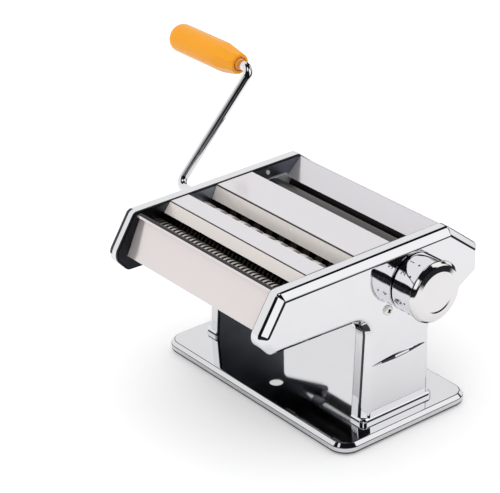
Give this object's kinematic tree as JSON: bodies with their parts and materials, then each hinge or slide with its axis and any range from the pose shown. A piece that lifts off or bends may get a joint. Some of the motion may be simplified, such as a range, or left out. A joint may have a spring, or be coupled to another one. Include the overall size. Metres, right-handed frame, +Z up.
{
  "type": "pasta roller machine",
  "caption": "Hand-cranked pasta machine: smooth rollers with an adjustable gap, wide and fine cutters under pressed covers on a base tray, bent crank with a turning grip.",
  "frame": {"origin": "on the table under the middle of the base, at the level where the rubber feet rest", "axes": "+X along the rollers towards the regulator knob (the crank is at -X), +Y to the rear behind the smooth rollers, +Z up"},
  "size_m": [0.3265, 0.1927, 0.1966],
  "materials": {
    "chrome": "mirror-chromed pressed steel",
    "polished_steel": "polished, faintly soft reflections",
    "roller_steel": "ground rollers",
    "frame_steel": "plated sheet",
    "shaft_steel": "ground bar",
    "gear_steel": "sintered, oiled",
    "fastener_steel": "nickel-plated",
    "spring_steel": "drawn wire",
    "bush_bronze": "sintered bronze",
    "foot_rubber": "matt moulded",
    "dial_metal": "chromed drum with dark numbers",
    "grip_plastic": "glossy orange moulding"
  },
  "bodies": {
    "frame": {"base_plate": "chrome", "rubber_feet": "foot_rubber", "left_inner_frame": "frame_steel", "right_inner_frame": "frame_steel", "frame_screws": "fastener_steel", "frame_nuts": "fastener_steel", "left_side_cover": "chrome", "right_side_cover": "chrome", "cover_posts": "shaft_steel", "cover_screws": "fastener_steel", "tie_rods": "shaft_steel", "tie_rod_nuts": "fastener_steel", "front_apron": "polished_steel", "mid_deck": "polished_steel", "roller_deck": "polished_steel", "rear_guide": "polished_steel", "deck_screws": "fastener_steel", "dough_cheeks": "polished_steel", "cheek_screws": "fastener_steel", "shaft_bushes": "bush_bronze", "fine_combs": "frame_steel", "wide_combs": "frame_steel", "drive_scraper": "frame_steel", "regulator_bush": "bush_bronze", "index_pin": "shaft_steel"},
    "wide_drive": {"wide_cutter_drive": "roller_steel", "wide_gear_drive": "gear_steel", "crank_rod": "chrome", "grip_washer": "chrome"},
    "grip": {"crank_grip": "grip_plastic"},
    "wide_mate": {"wide_cutter_mate": "roller_steel", "wide_gear_mate": "gear_steel"},
    "fine_drive": {"fine_cutter_drive": "roller_steel", "fine_gear_drive": "gear_steel"},
    "fine_mate": {"fine_cutter_mate": "roller_steel", "fine_gear_mate": "gear_steel"},
    "roller_drive": {"drive_roller": "roller_steel", "drive_roller_shafts": "shaft_steel", "drive_roller_gear": "gear_steel"},
    "carriage": {"bearing_blocks": "bush_bronze", "carriage_bar": "shaft_steel", "adjustable_scraper": "frame_steel"},
    "roller_adjustable": {"adjustable_roller": "roller_steel", "adjustable_roller_shafts": "shaft_steel", "adjustable_roller_gear": "gear_steel"},
    "regulator": {"regulator_shaft": "shaft_steel", "scroll_disc": "frame_steel", "knob_washer": "fastener_steel", "knob_screw": "fastener_steel"},
    "knob": {"dial": "dial_metal", "knob_cap": "chrome", "knob_spring": "spring_steel"}
  },
  "joints": [
    {"name": "crank_turn", "type": "hinge", "parent": "frame", "child": "wide_drive", "pos_m": [0, -0.0233, 0.1132], "axis": [1, 0, 0], "continuous": true},
    {"name": "grip_spin", "type": "hinge", "parent": "wide_drive", "child": "grip", "pos_m": [-0.176, 0.04639, 0.18562], "axis": [1, 0, 0], "continuous": true},
    {"name": "wide_mate_spin", "type": "hinge", "parent": "frame", "child": "wide_mate", "pos_m": [0, -0.0413, 0.1132], "axis": [1, 0, 0], "continuous": true},
    {"name": "fine_drive_spin", "type": "hinge", "parent": "frame", "child": "fine_drive", "pos_m": [0, -0.0644, 0.1136], "axis": [1, 0, 0], "continuous": true},
    {"name": "fine_mate_spin", "type": "hinge", "parent": "frame", "child": "fine_mate", "pos_m": [0, -0.0824, 0.1136], "axis": [1, 0, 0], "continuous": true},
    {"name": "roller_drive_spin", "type": "hinge", "parent": "frame", "child": "roller_drive", "pos_m": [0, 0.0511, 0.1095], "axis": [1, 0, 0], "continuous": true},
    {"name": "knob_turn", "type": "hinge", "parent": "frame", "child": "regulator", "pos_m": [0.095, 0.0158, 0.1049], "axis": [1, 0, 0], "range_deg": [-80, 80]},
    {"name": "gap_slide", "type": "slide", "parent": "frame", "child": "carriage", "axis": [0, 1, 0], "range_m": [-0.00207, 0.00207]},
    {"name": "adjustable_roller_spin", "type": "hinge", "parent": "carriage", "child": "roller_adjustable", "pos_m": [0, 0.0217, 0.1095], "axis": [1, 0, 0], "continuous": true},
    {"name": "knob_pull", "type": "slide", "parent": "regulator", "child": "knob", "axis": [1, 0, 0], "range_m": [0, 0.0045], "stiffness_N_per_m": 600, "springref_m": -0.004, "deforming": ["knob_spring"]}
  ],
  "couplings": [
    {"joint": "wide_mate_spin", "follows": "crank_turn", "ratio": -1},
    {"joint": "fine_mate_spin", "follows": "fine_drive_spin", "ratio": -1},
    {"joint": "adjustable_roller_spin", "follows": "roller_drive_spin", "ratio": -1},
    {"joint": "knob_turn", "follows": "gap_slide", "rad_per_m": 674.52}
  ]
}
